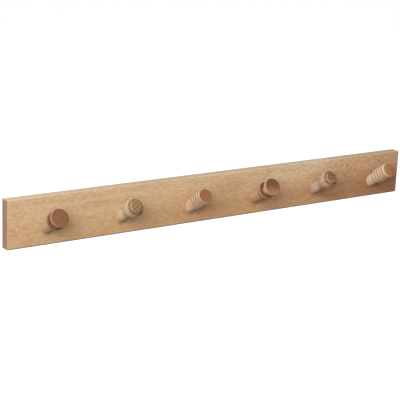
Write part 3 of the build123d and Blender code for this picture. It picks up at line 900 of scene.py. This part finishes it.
def add_room(scene, ambient, lean, behind):
    """Room that is seen as plain white and lights the rail softly, from 1 - lean on the far side up
    to 1 + lean on the window side, with more from behind the rail."""
    world = bpy.data.worlds.new("white_room")
    world.use_nodes = True
    scene.world = world
    s = Steps(world.node_tree)
    window = Vector(WINDOW_SIDE).normalized()
    direction = s.add("TexCoord")
    toward = s.toward(direction, tuple(window))
    light = s.band(toward, *WINDOW_SPREAD, ambient * (1 - lean), ambient * (1 + lean))
    light = s.plus(light, s.band(s.part(direction, 1), *REAR_SPREAD, 0, behind))
    background = world.node_tree.nodes["Background"].inputs
    background["Color"].default_value = WHITE
    s.send({"Strength": s.level(s.add("LightPath"), 0, 1, light, 1.0)}, background)


def add_camera(scene):
    camera = bpy.data.cameras.new("camera")
    camera.lens = CAMERA_LENS
    camera.sensor_width = CAMERA_SENSOR
    seat = add_object("camera", camera)
    seat.location = CAMERA_PLACE
    seat.rotation_euler = [radians(turn) for turn in CAMERA_TURN]
    scene.camera = seat


# ==== what a user may change ====

def swatch(name, description, default):
    return bpy.props.FloatVectorProperty(
        name=name, description=description, default=default, subtype="COLOR", size=3, min=0, max=1
    )


def amount(name, description, default, **more):
    return bpy.props.FloatProperty(name=name, description=description, default=default, **more)


class WoodSettings(bpy.types.PropertyGroup):
    cream_light: swatch("Third peg, light", "Its early wood", (0.68, 0.55, 0.395))
    cream_dark: swatch("Third peg, dark", "Its late wood", (0.50, 0.345, 0.205))
    ivory_light: swatch("Last peg, light", "Its early wood", (0.75, 0.60, 0.46))
    ivory_dark: swatch("Last peg, dark", "Its late wood", (0.56, 0.40, 0.26))
    pale_light: swatch("Second peg, light", "Its early wood", (0.64, 0.515, 0.395))
    pale_dark: swatch("Second peg, dark", "Its late wood", (0.47, 0.33, 0.215))
    straw_light: swatch("Fifth peg, light", "Its early wood", (0.59, 0.455, 0.36))
    straw_dark: swatch("Fifth peg, dark", "Its late wood", (0.41, 0.275, 0.175))
    tan_light: swatch("Disc pegs, light", "Their early wood", (0.56, 0.38, 0.245))
    tan_dark: swatch("Disc pegs, dark", "Their late wood", (0.38, 0.235, 0.14))
    end_brown: swatch("End grain, brown", "Front of the first peg", (0.226, 0.090, 0.032))
    end_olive: swatch("End grain, olive", "Front of the second peg", (0.30, 0.168, 0.068))
    end_umber: swatch("End grain, umber", "Front of the fifth peg", (0.29, 0.140, 0.056))
    end_orange: swatch("End grain, orange", "Front of the third peg", (0.33, 0.122, 0.038))
    end_chestnut: swatch("End grain, chestnut", "Front of the fourth peg", (0.275, 0.097, 0.033))
    end_honey: swatch("End grain, honey", "Front of the last peg", (0.31, 0.18, 0.068))
    end_dark: swatch("End grain, dark", "Late wood full of finish", (0.09, 0.040, 0.013))
    upper_left: swatch("Board, upper left", "Light wood along the top", (0.66, 0.48, 0.31))
    upper_right: swatch("Board, upper right", "Redder wood along the top", (0.53, 0.33, 0.195))
    lower_left: swatch("Board, lower left", "Light wood along the bottom", (0.62, 0.42, 0.25))
    lower_middle: swatch("Board, lower middle", "Wood along the bottom", (0.54, 0.335, 0.186))
    lower_right: swatch("Board, lower right", "Red wood along the bottom", (0.32, 0.135, 0.07))
    pale: swatch("Board, pale patch", "Paler wood by the fourth peg", (0.69, 0.54, 0.385))
    honey: swatch("Board, honey", "Warm flames low down", (0.60, 0.33, 0.15))
    amber: swatch("Board, amber", "Dark patch low down", (0.40, 0.20, 0.085))
    board_end: swatch("Board, end grain", "The two ends of the board", (0.35, 0.22, 0.13))
    knot: swatch("Pin knots", "Small knots at the red end", (0.09, 0.035, 0.015))
    # dark lines round the board's edges, with painted shade along the lower edge
    edge: swatch("Board, edges", "Dark line round the back and below", (0.17, 0.13, 0.10))
    # dark joint lines, and painted shade by the pegs' feet
    joint_shade: swatch("Joints", "Dark joint line and painted shade where a peg meets the board", (0.10, 0.055, 0.03))
    # finish and painted shade in the grooves
    groove: swatch("Grooves", "Finish and painted shade in a turning's grooves", (0.31, 0.17, 0.065))


class PegSettings(bpy.types.PropertyGroup):
    steps: bpy.props.IntProperty(name="Steps", description="Faces round a peg", default=96, min=24, max=256)


class MetalSettings(bpy.types.PropertyGroup):
    zinc: swatch("Zinc", "Plating of the keyhole plates", (0.62, 0.63, 0.65))
    zinc_tint: swatch("Zinc, dull", "Clouded patches of the plating", (0.42, 0.41, 0.38))
    steel: swatch("Screws", "Plating of the screws", (0.55, 0.56, 0.58))
    steel_tint: swatch("Screws, dull", "Clouded patches on the screws", (0.36, 0.34, 0.30))


class StageSettings(bpy.types.PropertyGroup):
    floor_drop: amount("Height on the wall", "From the floor up to the rail", 1.4, unit="LENGTH")
    floor_radius: amount("Floor radius", "Radius of the round floor", 14.0, unit="LENGTH")
    floor_color: swatch("Floor", "Plain pale floor", (0.7, 0.7, 0.7))
    floor_bounce: swatch("Floor bounce", "Light that the floor throws up", (0.21, 0.155, 0.10))
    floor_glow: amount("Floor glow", "How washed out the floor looks", 0.6)
    key_power: amount("Key light", "Large light at the upper left", 125.0, unit="POWER")
    ambient: amount("Room light", "Brightness of the room around the rail", 0.51, min=0)
    behind: amount("Light behind", "Extra room light on the back and the top", 0.45)
    lean: amount("Window share", "How much brighter the upper left is", 0.8, min=0, max=1)


# ==== operators ====

class PEGRAIL_OT_stage(bpy.types.Operator):
    """Floor, lights, white room and the camera"""

    bl_idname = "pegrail.stage"
    bl_label = "Stage"

    def execute(self, context):
        scene, settings = context.scene, context.scene.peg_rail_stage
        add_floor(settings)
        add_key_light(settings.key_power)
        add_room(scene, settings.ambient, settings.lean, settings.behind)
        add_camera(scene)
        scene.view_settings.view_transform = "Standard"
        return {"FINISHED"}


class PEGRAIL_OT_board(bpy.types.Operator):
    """Planed beech on the board"""

    bl_idname = "pegrail.board"
    bl_label = "Board"

    def execute(self, context):
        wear_material(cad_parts["rail_board"], board_material(context.scene.peg_rail_wood))
        return {"FINISHED"}


class PEGRAIL_OT_pegs(bpy.types.Operator):
    """Six turned pegs of three patterns"""

    bl_idname = "pegrail.pegs"
    bl_label = "Turned pegs"

    def execute(self, context):
        colors, sizes = context.scene.peg_rail_wood, context.scene.peg_rail_pegs
        for number, peg in enumerate(PEGS):
            wear_material(turned_peg(number, peg, sizes.steps), peg_material(number, peg, colors))
        return {"FINISHED"}


class PEGRAIL_OT_metal(bpy.types.Operator):
    """Zinc on the keyhole plates and on all the screws"""

    bl_idname = "pegrail.metal"
    bl_label = "Plates and screws"

    def execute(self, context):
        colors = context.scene.peg_rail_metal
        for node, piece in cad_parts.items():
            if node.startswith("hanger_plate"):
                wear_material(piece, metal_material(node, colors.zinc, colors.zinc_tint, True))
            elif "screw" in node:
                wear_material(piece, metal_material(node, colors.steel, colors.steel_tint, False))
        return {"FINISHED"}


class PEGRAIL_PT_sidebar(bpy.types.Panel):
    """Everything that makes up the rail"""

    bl_idname = "PEGRAIL_PT_sidebar"
    bl_label = "Peg Rail"
    bl_space_type = "VIEW_3D"
    bl_region_type = "UI"
    bl_category = "Peg Rail"

    def draw(self, context):
        for operator in OPERATORS:
            self.layout.operator(operator.bl_idname)
        for pointer, group in SETTINGS.items():
            box = self.layout.box()
            for setting in group.__annotations__:
                box.prop(getattr(context.scene, pointer), setting)


OPERATORS = (PEGRAIL_OT_stage, PEGRAIL_OT_board, PEGRAIL_OT_pegs, PEGRAIL_OT_metal)
SETTINGS = {
    "peg_rail_wood": WoodSettings,
    "peg_rail_pegs": PegSettings,
    "peg_rail_metal": MetalSettings,
    "peg_rail_stage": StageSettings,
}
CLASSES = (*SETTINGS.values(), *OPERATORS, PEGRAIL_PT_sidebar)


def register():
    for kind in CLASSES:
        bpy.utils.register_class(kind)
    for pointer, group in SETTINGS.items():
        setattr(bpy.types.Scene, pointer, bpy.props.PointerProperty(type=group))


def unregister():
    for pointer in SETTINGS:
        delattr(bpy.types.Scene, pointer)
    for kind in reversed(CLASSES):
        bpy.utils.unregister_class(kind)


def main():
    register()
    bpy.ops.pegrail.stage()
    bpy.ops.pegrail.board()
    bpy.ops.pegrail.pegs()
    bpy.ops.pegrail.metal()


if __name__ == "__main__":
    main()
